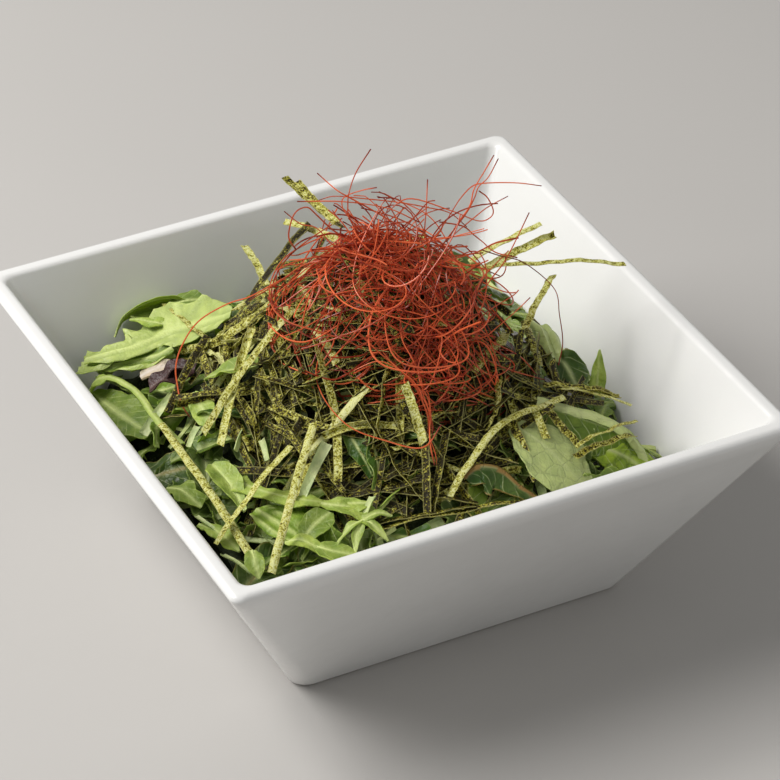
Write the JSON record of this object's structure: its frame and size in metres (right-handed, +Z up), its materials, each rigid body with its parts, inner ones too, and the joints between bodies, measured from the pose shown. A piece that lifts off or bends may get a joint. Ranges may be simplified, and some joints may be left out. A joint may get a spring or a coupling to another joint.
{
  "type": "bowl of chopped salad",
  "caption": "Square flared bowl heaped with cut salad leaves, shredded nori strewn over them and a tangle of fine chilli threads on top.",
  "frame": {"origin": "middle of the bowl's foot, at the level of the surface it stands on", "axes": "+Z up out of the bowl; X and Y square to its four walls, so that one corner of the bowl is at -X -Y"},
  "size_m": [0.19, 0.19, 0.1342],
  "materials": {
    "bowl_glaze": "gloss",
    "salad_leaf": "satin",
    "nori": "satin",
    "chili": "satin"
  },
  "bodies": {
    "root": {"bowl": "bowl_glaze", "salad_greens": "salad_leaf", "nori_shreds": "nori", "chili_threads": "chili"}
  },
  "joints": []
}
